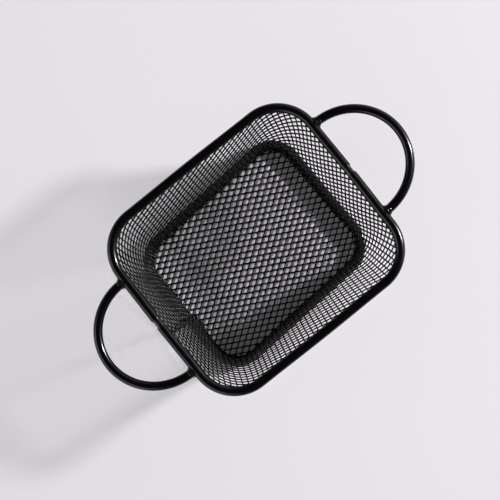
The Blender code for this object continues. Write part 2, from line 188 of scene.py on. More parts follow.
def tube_mesh(name, points):
    """Skins points of shape (rows, round, 3): row i joins row i + 1, and the end rows are filled."""
    rows, around = points.shape[:2]
    near = np.arange(rows - 1)[:, None] * around
    far = near + around
    j = np.arange(around)[None, :]
    j_next = (j + 1) % around
    faces = np.stack([near + j, near + j_next, far + j_next, far + j], -1).reshape(-1, 4).tolist()
    faces.append(list(range(around)))
    faces.append(list(range((rows - 1) * around, rows * around)))
    return finish_mesh(name, mesh_from(points.reshape(-1, 3), faces))


def carry(line, s, outset, height, section):
    """Carries sections of shape (places, corners, 2), outward and up, along a line at one height."""
    points, outward = line(s)
    flat = points[:, None, :] + outward[:, None, :] * (outset + section[..., :1])
    return np.concatenate([flat, height + section[..., 1:]], -1)


def smooth_step(x):
    """0 below 0, 1 above 1, and 3x^2 - 2x^3 between."""
    x = np.clip(x, 0, 1)
    return x * x * (3 - 2 * x)


print("a smooth step at a quarter:", round(float(smooth_step(0.25)), 3))

# %% [markdown]
# ## A slit tube's section
# Both tubes are strips rolled up until a slit is left. A curve with a bevel could not leave the
# slit open, so the section's points are worked out one by one. Each lip gets one more point at half
# the strip's thickness, which rounds it as the paint does. This one is the rim's section.

# %% Slit tube
TUBE_WALL = 0.5 * MM
OUTSIDE_POINTS = 36
BORE_POINTS = 14


def arc_between_lips(radius, slit, facing, shares):
    """Points on a circle that a slit opens, from one lip at share 0 to the other at share 1.

    slit is the opening's width and facing its angle, both arrays over the places.
    """
    lip = np.arcsin(slit / 2 / radius)
    turn = (facing + lip)[:, None] + (2 * np.pi - 2 * lip)[:, None] * shares
    return radius * np.stack([np.cos(turn), np.sin(turn)], -1)


def slit_tube(radius, slit, facing):
    """Sections of a rolled tube at many places: the outside from lip to lip, then the bore back."""
    outside = arc_between_lips(radius, slit, facing, np.linspace(0, 1, OUTSIDE_POINTS))
    lips = arc_between_lips(radius - TUBE_WALL / 2, slit, facing, np.array([0.0, 1.0]))
    bore = arc_between_lips(radius - TUBE_WALL, slit, facing, np.linspace(1, 0, BORE_POINTS))
    return np.concatenate([outside, lips[:, 1:], bore, lips[:, :1]], 1)


print("corners of a section:", slit_tube(2 * MM, np.array([1 * MM]), np.zeros(1)).shape[1])

# %% [markdown]
# ## Where the wall leans
# The wall's foot stands just above the base panel, and its top ends at the middle of the rim's
# tube. It leans out by seven tenths of its mean slope at the foot and by thirteen tenths at the
# top, and both tubes have to follow it. On the left side its two ends lap, from SEAM_EDGE_Y on.

# %% Lean and seam
WALL_FOOT_Z = 1.85 * MM
WALL_RISE = RIM_Z - WALL_FOOT_Z
FOOT_LEAN_SHARE = 0.7
SEAM_EDGE_Y = -2.4 * MM
SEAM_OVERLAP = 3.6 * MM
SEAM_BLEND = 12.0 * MM
SEAM_MIDDLE_Y = SEAM_EDGE_Y - SEAM_OVERLAP / 2


def wall_run(s):
    """How far the rim's centre line stands out from the foot line."""
    top, outward = rim_line(s)
    foot, _ = base_line(s)
    return ((top - foot) * outward).sum(-1)


def rim_facing(s):
    """The slit's angle, from outward to up: down along the wall."""
    return -np.pi / 2 - np.arctan2((2 - FOOT_LEAN_SHARE) * wall_run(s), WALL_RISE)


def foot_slope(s):
    """How far the wall's foot leans outwards for each unit up."""
    return FOOT_LEAN_SHARE * wall_run(s) / WALL_RISE


print("slope of the foot, right and back:", np.round(foot_slope(np.array([0.0, 1.0])), 3).tolist())

# %% [markdown]
# ## The rim
# The mesh goes up into the slit, and the tube is bent into two halves whose ends meet in the
# middle of the short sides. There the joint was welded and ground a little below the tube. The
# grinding is a dent on the outer side only, a smooth hump in the distance from the joint. The
# halves get close rows at both ends, where a quarter circle rounds the cut edge.

# %% Rim halves and joints
RIM_RADIUS = 2.2 * MM
RIM_SLIT = 0.9 * MM
LAPPED_SLIT = 1.5 * MM
LAPPED_REACH = 3.0 * MM
JOINT_Y = 1.5 * MM
JOINT_HALF = 1.9 * MM
JOINT_SIZE = 0.975
JOINT_ROWS = 12
GRIND_DEPTH = 0.5 * MM
GRIND_HALF = 2.3 * MM
GRIND_FULL_SHARE = 0.45
ROWS_PER_QUARTER = 90
END_STRETCH = 0.03
END_ROWS = 16
END_ROUNDING = 0.12 * MM


def ground_down(s, section):
    """Presses a section in by the grinding depth near a joint, most where it looks outwards."""
    points, _ = rim_line(s)
    away = np.abs(points[:, 1] - JOINT_Y) / GRIND_HALF
    near = 1 - smooth_step((away - GRIND_FULL_SHARE) / (1 - GRIND_FULL_SHARE))
    near = near * (np.abs(points[:, 0]) > RIM_SIZE["length"] / 2 - RIM_RADIUS)
    outer = smooth_step(section[..., 0] / RIM_RADIUS)
    pressed = section[..., 0] - GRIND_DEPTH * near[:, None] * outer
    return np.stack([pressed, section[..., 1]], -1)


def rim_sections(s, radius):
    """Sections of the rim at the places s. The slit is wider on the left, where the wall laps."""
    points, _ = rim_line(s)
    on_left = points[:, 0] < RIM_RADIUS - RIM_SIZE["length"] / 2
    lapped = on_left & (np.abs(points[:, 1] - SEAM_MIDDLE_Y) < LAPPED_REACH)
    return slit_tube(radius, np.where(lapped, LAPPED_SLIT, RIM_SLIT), rim_facing(s))


def rim_half(name, start, end):
    """Half of the rim, with both its ends rounded."""
    rows = np.linspace(start, end, int(ROWS_PER_QUARTER * (end - start)))
    s = np.concatenate([
        np.linspace(start, start + END_STRETCH, END_ROWS),
        rows[(rows > start + END_STRETCH) & (rows < end - END_STRETCH)],
        np.linspace(end - END_STRETCH, end, END_ROWS),
    ])
    points, _ = rim_line(s)
    run = np.concatenate([[0], np.cumsum(np.linalg.norm(np.diff(points, axis=0), axis=1))])
    from_end = np.clip(np.minimum(run, run[-1] - run) / END_ROUNDING, 0, 1)
    rounding = np.sqrt(1 - (1 - from_end) ** 2)
    size = 1 - (1 - rounding) * END_ROUNDING / RIM_RADIUS
    section = rim_sections(s, RIM_RADIUS) * size[:, None, None]
    return tube_mesh(name, carry(rim_line, s, 0, RIM_Z, ground_down(s, section)))


def rim_joint(name, start, end):
    """The weld that joins two ends, a little thinner than the tube."""
    s = np.linspace(start, end, JOINT_ROWS)
    section = rim_sections(s, RIM_RADIUS * JOINT_SIZE)
    return tube_mesh(name, carry(rim_line, s, 0, RIM_Z, ground_down(s, section)))


right_near, right_far = [short_side_place(False, JOINT_Y + side * JOINT_HALF) for side in (-1, 1)]
left_near, left_far = [short_side_place(True, JOINT_Y + side * JOINT_HALF) for side in (-1, 1)]
rim_back = rim_half("rim_tube_back", right_far, left_far)
rim_front = rim_half("rim_tube_front", left_near, 4 + right_near)
joint_right = rim_joint("rim_butt_weld_right", right_near, right_far)
joint_left = rim_joint("rim_butt_weld_left", left_far, left_near)

# %% [markdown]
# ## The base ring
# The basket stands on a second rolled tube, bent once round. It was pressed upright and leans out
# with the wall: its top is round, its flanks are straight, and its slit lies low on the inner
# side, where it grips the edge of the base panel just above the table. It is 3.4 mm wide. Its
# underside would bulge below the table and is cut flat there, where the basket stands.

# %% Base ring
RING_RADIUS = 1.7 * MM
RING_Z = 1.3 * MM
RING_FLANK = 3.9 * MM
RING_OUTSET = 2.5 * MM
RING_SLIT = 0.8 * MM
RING_GAP = 0.006
UNDERSIDE_BULGE = 1.08
RING_OUTSIDE_POINTS = 20
RING_BORE_POINTS = 10


def upright_arc(radius, drop, count):
    """From the slit's upper lip over a half circle, down the flank and under to the lower lip.

    The half circle stands RING_FLANK above the slit, and half an ellipse reaches drop below it.
    """
    over = np.linspace(np.pi, 0, count)
    under = np.linspace(0, -np.pi + np.arcsin(RING_SLIT / 2 / drop), count)
    top = np.stack([radius * np.cos(over), RING_FLANK + radius * np.sin(over)], -1)
    bottom = np.stack([radius * np.cos(under), drop * np.sin(under)], -1)
    return np.concatenate([[[-radius, RING_SLIT / 2]], top, bottom])


ring_s = np.linspace(2 + RING_GAP, 6 - RING_GAP, 4 * ROWS_PER_QUARTER)
ring_outside = upright_arc(RING_RADIUS, UNDERSIDE_BULGE * RING_Z, RING_OUTSIDE_POINTS)
ring_bore = upright_arc(RING_RADIUS - TUBE_WALL, RING_Z - TUBE_WALL, RING_BORE_POINTS)
ring_section = np.concatenate([ring_outside, ring_bore[::-1]])
ring_section[:, 1] = np.maximum(ring_section[:, 1], -RING_Z)
ring_sections = np.tile(ring_section, (len(ring_s), 1, 1))
ring_sections[..., 0] += foot_slope(ring_s)[:, None] * np.clip(ring_sections[..., 1], 0, None)
base_ring = tube_mesh("base_ring_tube", carry(base_line, ring_s, RING_OUTSET, RING_Z, ring_sections))

# %% [markdown]
# ## The wall as a surface
# The wall leans out from the base to the rim. A point on it has a place s along the band and a
# height share t, from 0 at the foot to 1 inside the rim. The lean grows a little towards the top,
# so the wall is very slightly hollow. At the seam on the left side the band laps over itself. Its
# inner end lies nearly a millimetre inside the outer one and comes out smoothly past the lap.

# %% Wall surface
SHEET = 0.5 * MM
LAP_STEP = 0.92 * MM
SEAM_START = short_side_place(True, SEAM_EDGE_Y)
SEAM_LAP_END = short_side_place(True, SEAM_EDGE_Y - SEAM_OVERLAP)
SEAM_BLEND_END = short_side_place(True, SEAM_EDGE_Y - SEAM_OVERLAP - SEAM_BLEND)
SMALL_STEP = 1e-4


def wall_point(s, t):
    """The middle of the sheet: foot and top points joined by a share 0.7 t + 0.3 t squared."""
    foot, foot_out = base_line(s)
    top, top_out = rim_line(s)
    lap = (1 - smooth_step((s - SEAM_LAP_END) / (SEAM_BLEND_END - SEAM_LAP_END)))[..., None]
    foot = foot + foot_out * (SHEET / 2 - LAP_STEP * lap)
    top = top + top_out * LAP_STEP * (0.5 - lap)
    spread = (FOOT_LEAN_SHARE * t + (1 - FOOT_LEAN_SHARE) * t * t)[..., None]
    flat = foot + (top - foot) * spread
    return np.concatenate([flat, (WALL_FOOT_Z + WALL_RISE * t)[..., None]], -1)


def wall_normal(s, t):
    """Outward unit normals, from the cross product of small steps along the band and up it."""
    along = wall_point(s + SMALL_STEP, t) - wall_point(s - SMALL_STEP, t)
    rise = wall_point(s, t + SMALL_STEP) - wall_point(s, t - SMALL_STEP)
    normal = np.cross(along, rise)
    return normal / np.linalg.norm(normal, axis=-1, keepdims=True)


wall_middle = wall_point(np.array([4.0, 5.0, 3.0]), np.full(3, 0.5))
print("right, back and front wall at half height, in mm:", np.round(wall_middle / MM, 1).tolist())

# %% [markdown]
# ## Rolling the wall out flat
# Expanded metal is made flat, so its diamonds keep one direction on the flat strip and seem to
# turn as the strip goes round the corners. To get the same turn, the wall is rolled out on a
# plane: each line down the wall keeps its length, and the next one follows at the angle that the
# two lines enclose. The result is a flat arc like an unrolled lampshade. The real mesh was pulled
# and pushed as it was formed, so its diamonds turn less at the corners than the lampshade's, and
# drift by a few degrees on the way. Both are given at a few places round the band. A point of the
# plane is brought back by halving: the line through it is looked for between the band's two ends.

# %% Rolled-out band
ROLL_STEPS = 4000
ROLL_MARGIN = 0.25
HALVINGS = 30
CORNER_TURN_SHARES = dict(
    places=[2.0, 2.3, 2.7, 3.3, 5.3, 6.2],
    shares=[0.75, 0.75, 0.75, 0.92, 0.9, 0.9],
)
MESH_DRIFT = dict(
    places=[2.0, 2.35, 2.65, 3.0, 3.35, 3.5, 3.7, 3.85, 4.0, 4.5, 5.0, 5.3, 5.5, 5.7, 6.1],
    degrees=[2, -1, 4, 5, 3, 1.5, 2, 3.5, 2.5, 2.5, 3, 6, 2, 1, 0],
)

roll_s = np.linspace(SEAM_START - ROLL_MARGIN, 4 + SEAM_LAP_END + ROLL_MARGIN, ROLL_STEPS)
roll_top = np.c_[rim_line(roll_s)[0], np.full(ROLL_STEPS, RIM_Z)]
roll_foot = np.c_[base_line(roll_s)[0], np.full(ROLL_STEPS, WALL_FOOT_Z)]
roll_down = roll_foot - roll_top
roll_length = np.linalg.norm(roll_down, axis=1)
top_edge = np.diff(roll_top, axis=0)
edge_length = np.linalg.norm(top_edge, axis=1)
angle_before = np.arccos((top_edge * roll_down[:-1]).sum(1) / edge_length / roll_length[:-1])
angle_after = np.arccos((top_edge * roll_down[1:]).sum(1) / edge_length / roll_length[1:])
turn_share = np.interp(roll_s[1:], CORNER_TURN_SHARES["places"], CORNER_TURN_SHARES["shares"])
line_turns = np.cumsum((angle_before - angle_after) * turn_share)
roll_angle = -np.pi / 2 + np.concatenate([[0], line_turns])
roll_angle -= np.radians(np.interp(roll_s, MESH_DRIFT["places"], MESH_DRIFT["degrees"]))
edge_angle = roll_angle[:-1] + angle_before
edge_flat = np.c_[edge_length * np.cos(edge_angle), edge_length * np.sin(edge_angle)]
roll_flat = np.concatenate([[[0, 0]], np.cumsum(edge_flat, axis=0)])
print("the flat band turns", round(np.degrees(roll_angle[0] - roll_angle[-1]), 1), "degrees")


def line_at(s):
    """The flat top point and direction of the line down the wall at s, and its length."""
    top = np.stack([np.interp(s, roll_s, roll_flat[:, k]) for k in (0, 1)], -1)
    angle = np.interp(s, roll_s, roll_angle)
    return top, np.stack([np.cos(angle), np.sin(angle)], -1), np.interp(s, roll_s, roll_length)


def roll_back(points):
    """Place and height share of flat points, by halving the range of s HALVINGS times."""
    low = np.full(len(points), roll_s[0])
    high = np.full(len(points), roll_s[-1])
    for _ in range(HALVINGS):
        s = (low + high) / 2
        top, way, _ = line_at(s)
        offset = points - top
        ahead = way[:, 0] * offset[:, 1] - way[:, 1] * offset[:, 0] > 0
        low, high = np.where(ahead, s, low), np.where(ahead, high, s)
    top, way, length = line_at(s)
    return s, 1 - ((points - top) * way).sum(-1) / length


# %% [markdown]
# ## One diamond of expanded metal
# The long way of a diamond is 5.05 mm and the short way 3.1 mm, close to sizes that such mesh is
# sold in. Round each opening runs a ring of twelve points, and a second ring follows the middle
# of the strands, where the next diamond begins. Two rings above and two below give a strand with
# six sides, which smooth shading rounds as paint does. About 2,660 copies make the wall, so a
# diamond has only 36 faces.

# %% One diamond
LONG_WAY = 5.05 * MM
SHORT_WAY = 3.1 * MM
STRAND_WIDTH = 0.57 * MM
KNOT_LENGTH = 0.4 * MM
KNOT_HALF_WIDTH = 0.42 * MM
TIP_PAINT = 1.05
CORNER_PAINT = 1.15
DIAMOND_POINTS = 12


def full_ring(quarter):
    """Twelve points round from the right tip: four in the first quarter, mirrored over both axes.

    in_quarter counts up to the top and back down. The first and the last of the four lie on an
    axis, where the mirrored value is 0 either way.
    """
    k = np.arange(DIAMOND_POINTS)
    to_top = DIAMOND_POINTS // 4
    in_quarter = np.abs((k + to_top) % (2 * to_top) - to_top)
    turn = 2 * np.pi * k / DIAMOND_POINTS
    sides = np.sign(np.c_[np.cos(turn), np.sin(turn)])
    return np.array(quarter)[in_quarter] * sides


def diamond_rings():
    """The ring on the strands' middle lines and the ring round the opening.

    The opening's edges lie half a strand inside the middle lines. Paint fills its corners: they
    are 5% and 15% further in than the strand's and the knot's own width puts them.
    """
    tip = np.array([(LONG_WAY - KNOT_LENGTH) / 2, 0])
    knot_end = np.array([KNOT_LENGTH / 2, SHORT_WAY / 2])
    strand = (tip + knot_end) / 2
    slope = np.arctan2(SHORT_WAY / 2, tip[0] - knot_end[0])
    hole_side = strand - np.array([np.sin(slope), np.cos(slope)]) * STRAND_WIDTH / 2
    hole_tip = tip - [TIP_PAINT * STRAND_WIDTH / 2 / np.sin(slope), 0]
    corner_y = SHORT_WAY / 2 - CORNER_PAINT * KNOT_HALF_WIDTH
    hole_corner = hole_side + np.array([-1, np.tan(slope)]) * (corner_y - hole_side[1]) / np.tan(slope)
    hole_middle = [0, SHORT_WAY / 2 - KNOT_HALF_WIDTH]
    middle_ring = full_ring([tip, strand, knot_end, [0, SHORT_WAY / 2]])
    return middle_ring, full_ring([hole_tip, hole_side, hole_corner, hole_middle])


_, opening = diamond_rings()
opening_x, opening_y = opening.T
opening_area = np.abs((opening_x * np.roll(opening_y, -1) - opening_y * np.roll(opening_x, -1)).sum()) / 2
print("open share of the mesh:", round(opening_area / (LONG_WAY * SHORT_WAY / 2), 2))

# %% [markdown]
# ## A sheet of diamonds
# The diamonds lie on two grids, one shifted by half a diamond both ways. Each is a copy of the
# first, and points that meet are joined, so the sheet is one skin. Planes cut it to size, and the
# cuts are filled. Pulling a sheet open also tilts its strands like the slats of a blind, which
# is the louvre here.

# %% Sheet, grid and trimming
STRAND_HALF_THICKNESS = 0.36 * MM
STRAND_EDGE_HALF_THICKNESS = 0.24 * MM
JOINING_GRID = 0.002 * MM
CUT_TOLERANCE = 1e-7


def spin(turn):
    """The matrix that turns flat points counterclockwise."""
    return np.array([[np.cos(turn), -np.sin(turn)], [np.sin(turn), np.cos(turn)]])


def diamond_sheet(centres, turn, louvre, flattened):
    """Points (n, 3) and quads of a sheet of diamonds at flat centres, its long way turned by turn.

    louvre is the slope of the strands' tilt, and flattened multiplies all heights.
    """
    middle_ring, hole_ring = diamond_rings()
    tilt = louvre * (hole_ring[:, 1] - middle_ring[:, 1])
    cell = np.concatenate([
        np.c_[middle_ring, np.full(DIAMOND_POINTS, STRAND_HALF_THICKNESS)],
        np.c_[hole_ring, tilt + STRAND_EDGE_HALF_THICKNESS],
        np.c_[hole_ring, tilt - STRAND_EDGE_HALF_THICKNESS],
        np.c_[middle_ring, np.full(DIAMOND_POINTS, -STRAND_HALF_THICKNESS)],
    ])
    cell[:, 2] *= flattened
    cell[:, :2] = cell[:, :2] @ spin(turn).T
    points = (cell + np.c_[centres, np.zeros(len(centres))][:, None]).reshape(-1, 3)
    ring, k = np.meshgrid(np.arange(3), np.arange(DIAMOND_POINTS), indexing="ij")
    near, far = ring * DIAMOND_POINTS, (ring + 1) * DIAMOND_POINTS
    k_next = (k + 1) % DIAMOND_POINTS
    quads = np.stack([near + k, near + k_next, far + k_next, far + k], -1).reshape(1, -1, 4)
    quads = (quads + len(cell) * np.arange(len(centres))[:, None, None]).reshape(-1, 4)
    grid_points = np.round(points / JOINING_GRID).astype(np.int64)
    _, first, same = np.unique(grid_points, axis=0, return_index=True, return_inverse=True)
    return points[first], same.reshape(-1)[quads]


def lattice(turn, low, high):
    """Centres of the diamonds in a box, on two interleaved grids half a diamond apart."""
    reach = np.linalg.norm(high - low)
    count_x, count_y = int(reach / LONG_WAY) + 2, int(reach / SHORT_WAY) + 2
    i, j = np.meshgrid(np.arange(-2 * count_x, 2 * count_x), np.arange(-2 * count_y, 2 * count_y))
    keep = (i + j) % 2 == 0
    grid = np.c_[i[keep] * LONG_WAY / 2, j[keep] * SHORT_WAY / 2]
    centres = grid @ spin(turn).T + (low + high) / 2
    inside = ((centres > low) & (centres < high)).all(1)
    return centres[inside]


def trim(bm, planes):
    """Cuts along planes, each a point and the direction to throw away, and fills the cuts."""
    for point, away in planes:
        geometry = [*bm.verts, *bm.edges, *bm.faces]
        bmesh.ops.bisect_plane(
            bm, geom=geometry, dist=CUT_TOLERANCE, plane_co=point, plane_no=away, clear_outer=True
        )
    open_edges = [e for e in bm.edges if e.is_boundary]
    bmesh.ops.holes_fill(bm, edges=open_edges, sides=0)
    return bm


test_centres = lattice(0.0, np.array([0.0, 0.0]), np.array([10.0, 10.0]) * MM)
print("diamonds in a square centimetre:", len(test_centres))

# %% [markdown]
# ## The wall of diamonds
# The flat sheet is trimmed where the band ends and then bent: each point's place and height share
# give its spot on the wall, and its height above the sheet goes along the wall's normal. Trimming
# before bending makes clean cuts at the seam, inside the rim and at the foot. Until the bend,
# heights are a hundred times too large, which keeps the cut faces from being slivers. On the left
# wall the rows of diamonds hang in an arc, where the sheet was stretched round the last corner. A
# squared sine of the height slides the net back along the band there.

# %% Wall mesh
WALL_LATTICE_LEAN = np.radians(-2.5)
LOUVRE_SLOPE = 0.12
TRIM_MARGIN = 0.11
ROW_BEND = 3.9 * MM
ROW_BEND_HEIGHT = 0.675
ROW_BEND_PERIOD = 1.3
ROW_BEND_START = 5.35
ROW_BEND_FULL = 5.6
PLACE_LENGTH = 86 * MM
FOLD_SCALE = 100.0


def bend_rows(s, t):
    """Slides the net back along the band by a squared sine of the height, on the left wall only.

    PLACE_LENGTH is what one unit of s measures along the rim there.
    """
    slide = ROW_BEND * np.sin(np.pi * (t - ROW_BEND_HEIGHT) / ROW_BEND_PERIOD) ** 2
    on_left = smooth_step((s - ROW_BEND_START) / (ROW_BEND_FULL - ROW_BEND_START))
    return s - slide / PLACE_LENGTH * on_left


def bend_to_wall(bm):
    """Takes points (s, t, height times FOLD_SCALE) to their spots on the wall, all at once."""
    mesh = bpy.data.meshes.new("folded")
    bm.to_mesh(mesh)
    flat = np.empty(3 * len(mesh.vertices), dtype=np.float32)
    mesh.vertices.foreach_get("co", flat)
    s, t, height = flat.reshape(-1, 3).astype(float).T
    bent = wall_point(s, t) + wall_normal(s, t) * height[:, None] / FOLD_SCALE
    mesh.vertices.foreach_set("co", bent.astype(np.float32).ravel())
    bm.clear()
    bm.from_mesh(mesh)
    bpy.data.meshes.remove(mesh)
    return bm


wall_turn = np.interp(4.0, roll_s, roll_angle) + WALL_LATTICE_LEAN
line_ways = np.c_[np.cos(roll_angle), np.sin(roll_angle)]
band_edges = np.concatenate([roll_flat, roll_flat + roll_length[:, None] * line_ways])
wall_centres = lattice(wall_turn, band_edges.min(0) - LONG_WAY, band_edges.max(0) + LONG_WAY)
centre_s, centre_t = roll_back(wall_centres)
along_band = (centre_s > SEAM_START - TRIM_MARGIN) & (centre_s < 4 + SEAM_LAP_END + TRIM_MARGIN)
near_band = along_band & (np.abs(centre_t - 0.5) < 0.5 + TRIM_MARGIN)
wall_points, wall_quads = diamond_sheet(wall_centres[near_band], wall_turn, LOUVRE_SLOPE, 1.0)
point_s, point_t = roll_back(wall_points[:, :2])
folded_points = np.c_[bend_rows(point_s, point_t), point_t, wall_points[:, 2] * FOLD_SCALE]
wall_bm = trim(mesh_from(folded_points, wall_quads.tolist()), [
    ((SEAM_START, 0, 0), (-1, 0, 0)),
    ((4 + SEAM_LAP_END, 0, 0), (1, 0, 0)),
    ((0, 0, 0), (0, -1, 0)),
    ((0, 1, 0), (0, 1, 0)),
])
wall = finish_mesh("wall_expanded_mesh", bend_to_wall(wall_bm))
print("diamonds in the wall, cut ones too:", int(near_band.sum()))

# %% [markdown]
# ## The base of diamonds
# The base panel is the same mesh laid flat, its long way a few degrees off the basket's long
# side. It was rolled flat after pulling, which thinned its strands, took out their tilt and left
# the diamonds almost 3% larger. It is trimmed to the base outline by cutting along the sides and
# round the corners, wide enough for its edge to sit inside the ring's slit.

# %% Base mesh
BASE_LATTICE_TURN = np.radians(3.88)
BASE_STRETCH = 1.028
BASE_FLATTENED = 0.55
BASE_REACH = np.array([50, 42]) * MM
PANEL_OUTSET = 2.0 * MM
CORNER_CUTS = 6

base_centres = lattice(BASE_LATTICE_TURN, -BASE_REACH, BASE_REACH)
base_points, base_quads = diamond_sheet(base_centres, BASE_LATTICE_TURN, 0.0, BASE_FLATTENED)
base_points[:, :2] *= BASE_STRETCH
base_points[:, 2] += RING_Z
corner_places = np.arange(4)[:, None] + np.linspace(1 / 3, 2 / 3, CORNER_CUTS)
cut_places = np.concatenate([np.arange(4.0), corner_places.ravel()])
cut_points, cut_ways = base_line(cut_places)
cut_points = cut_points + cut_ways * PANEL_OUTSET
cuts = [((*point, RING_Z), (*way, 0)) for point, way in zip(cut_points, cut_ways)]
base = finish_mesh("base_expanded_mesh", trim(mesh_from(base_points, base_quads.tolist()), cuts))

# %% [markdown]
# ## The handles
# Each handle is round wire bent to half an oval in the rim's plane. A circle is carried along it.
# The ends run into beads of weld, which spread along the rim like a fillet: the bead is as wide
# as the wire at its outer end and hugs the tube at the other. Three low waves round it, twisted
# along it, keep it from looking turned on a lathe.

# %% Handles and their welds
WIRE_RADIUS = 2.1 * MM
WIRE_POINTS = 28
HANDLE_REACH = 26.6 * MM
HANDLE_HALF_SPAN = 25.4 * MM
HANDLE_ROWS = 97
HANDLE_CENTRE_X = RIM_SIZE["length"] / 2 + RIM_RADIUS + 0.3 * MM
HANDLE_FOOT_ROOM = 0.2 * MM
HANDLE_MIDDLE_Y = {"right": 2.4 * MM, "left": 0.2 * MM}
WELD_SPREAD = 3.4 * MM
WELD_HALF_HEIGHT = 2.0 * MM
WELD_END_HALF_HEIGHT = 1.02 * WIRE_RADIUS
WELD_REACH = 1.8 * MM
WELD_BITE = 0.25 * MM
WELD_TOP_SHARE = 0.98
WELD_ROWS = 14
WELD_HOLLOW = 2.2
WELD_WAVES = 3
WELD_TWIST = 5
WELD_WAVE_SHARE = 0.03


def rim_side_x(y):
    """How far out the rim's centre line lies at y on the right side, round the corner too."""
    corner_radius = RIM_SIZE["corner_radius"]
    straight = RIM_SIZE["width"] / 2 - corner_radius
    past = np.clip(np.abs(y) - straight, 0, None)
    bow = RIM_SIZE["bow"] * np.cos(np.pi / 2 * np.clip(np.abs(y) / straight, 0, 1)) ** 2
    return RIM_SIZE["length"] / 2 + bow - corner_radius + np.sqrt(corner_radius**2 - past**2)


def make_handle(name, side, middle_y):
    """Half an oval: x and y are the reach times the cosine and the half span times the sine."""
    foot_x = rim_side_x(middle_y + HANDLE_HALF_SPAN) + RIM_RADIUS + HANDLE_FOOT_ROOM
    end = np.arccos((foot_x - HANDLE_CENTRE_X) / HANDLE_REACH)
    turn = np.linspace(-end, end, HANDLE_ROWS)
    centre_x = HANDLE_CENTRE_X + HANDLE_REACH * np.cos(turn)
    centre_y = middle_y + HANDLE_HALF_SPAN * np.sin(turn)
    outward = np.stack([HANDLE_HALF_SPAN * np.cos(turn), HANDLE_REACH * np.sin(turn)], -1)
    outward /= np.linalg.norm(outward, axis=1, keepdims=True)
    around = np.linspace(0, 2 * np.pi, WIRE_POINTS, endpoint=False)
    across = outward[:, None] * WIRE_RADIUS * np.cos(around)[None, :, None]
    flat = np.stack([centre_x, centre_y], -1)[:, None] + across
    height = np.broadcast_to(RIM_Z + WIRE_RADIUS * np.sin(around), flat.shape[:2])
    return tube_mesh(name, np.concatenate([flat, height[..., None]], -1) * [side, 1, 1])


def make_handle_weld(name, side, foot_y):
    """A bead from the tube, at g = 0, to the wire. Its flare is (1 - g) to the power WELD_HOLLOW."""
    g = np.linspace(0, 1, WELD_ROWS)[:, None]
    around = np.linspace(0, 2 * np.pi, WIRE_POINTS, endpoint=False)[None, :]
    flare = (1 - g) ** WELD_HOLLOW
    waves = 1 + WELD_WAVE_SHARE * np.sin(WELD_WAVES * around + WELD_TWIST * g + foot_y / MM)
    half_width = (WIRE_RADIUS + (WELD_SPREAD - WIRE_RADIUS) * flare) * waves
    half_height = (WELD_END_HALF_HEIGHT + (WELD_HALF_HEIGHT - WELD_END_HALF_HEIGHT) * flare) * waves
    y = foot_y + half_width * np.cos(around)
    tallest = WELD_TOP_SHARE * RIM_RADIUS
    z = np.clip(half_height * np.sin(around), -tallest, tallest)
    tube_face = rim_side_x(y) + np.sqrt(RIM_RADIUS**2 - z**2) - WELD_BITE
    outer_end = rim_side_x(foot_y) + RIM_RADIUS + WELD_REACH
    x = tube_face + (outer_end - tube_face) * g
    return tube_mesh(name, np.stack([side * x, y, RIM_Z + z], -1))


handles, handle_welds = {}, {}
for side_name, side in (("right", 1), ("left", -1)):
    middle_y = HANDLE_MIDDLE_Y[side_name]
    handles[side_name] = make_handle(f"handle_wire_{side_name}", side, middle_y)
    for foot_name, foot in (("back", 1), ("front", -1)):
        name = f"{side_name}_{foot_name}"
        foot_y = middle_y + foot * HANDLE_HALF_SPAN
        handle_welds[name] = make_handle_weld(f"handle_bead_{name}", side, foot_y)

# %% [markdown]
# ## Spot welds on the seam
# Two electrodes pinched the lap of the wall and left two small round buttons. Each has a steep
# edge, a raised ring and a dimple in the middle: a profile of eight rings, turned round the
# wall's normal.

# %% Seam welds
SPOT_RADIUS = 0.9 * MM
SPOT_RISE = 0.32 * MM
SPOT_Y = -4.3 * MM
SPOT_UPPER_Z = 31.6 * MM
SPOT_LOWER_Z = 25.5 * MM
SPOT_POINTS = 24
PROFILE_RADII = np.array([0.999, 1.0, 0.97, 0.88, 0.7, 0.45, 0.2, 0.02])
PROFILE_RISES = np.array([0.0, 0.25, 0.65, 0.95, 1.0, 0.8, 0.6, 0.55])


def make_spot(name, height):
    """A round button on the lap's inner face, made of rings with the profile's radii and rises."""
    s = np.array([short_side_place(True, SPOT_Y)])
    t = np.array([(height - WALL_FOOT_Z) / WALL_RISE])
    inward = -wall_normal(s, t)[0]
    side_way = direction(np.cross(inward, [0, 0, 1.0]))
    up_way = np.cross(side_way, inward)
    around = np.linspace(0, 2 * np.pi, SPOT_POINTS, endpoint=False)[None, :, None]
    radius = SPOT_RADIUS * PROFILE_RADII[:, None, None]
    out = SHEET / 2 + SPOT_RISE * PROFILE_RISES[:, None, None]
    points = wall_point(s, t)[0] + radius * (np.cos(around) * side_way + np.sin(around) * up_way)
    return tube_mesh(name, points + out * inward)


spot_upper = make_spot("seam_spot_upper", SPOT_UPPER_Z)
spot_lower = make_spot("seam_spot_lower", SPOT_LOWER_Z)

# %% [markdown]
# ## Black enamel
# The steel is dipped in black enamel and baked, which leaves a hard gloss with a faint orange
# peel. A coat this dark shows only what it mirrors, so the colours stay near black, and gloss and
# peel make the difference. All finishes are that coat, over tube, wire, mesh and weld. One
# function builds them from object coordinates, with a slow cloud for colour and gloss.

# %% Node helpers and the enamel
CLOUD_SIZE = 14 * MM
CLOUD_LOW = 0.35
CLOUD_HIGH = 0.65


def linear(text):
    """A colour written as sRGB hex, turned to linear light."""
    value = np.array([int(text[k:k + 2], 16) for k in (1, 3, 5)]) / 255
    value = np.where(value <= 0.04045, value / 12.92, ((value + 0.055) / 1.055) ** 2.4)
    return (*value.tolist(), 1.0)


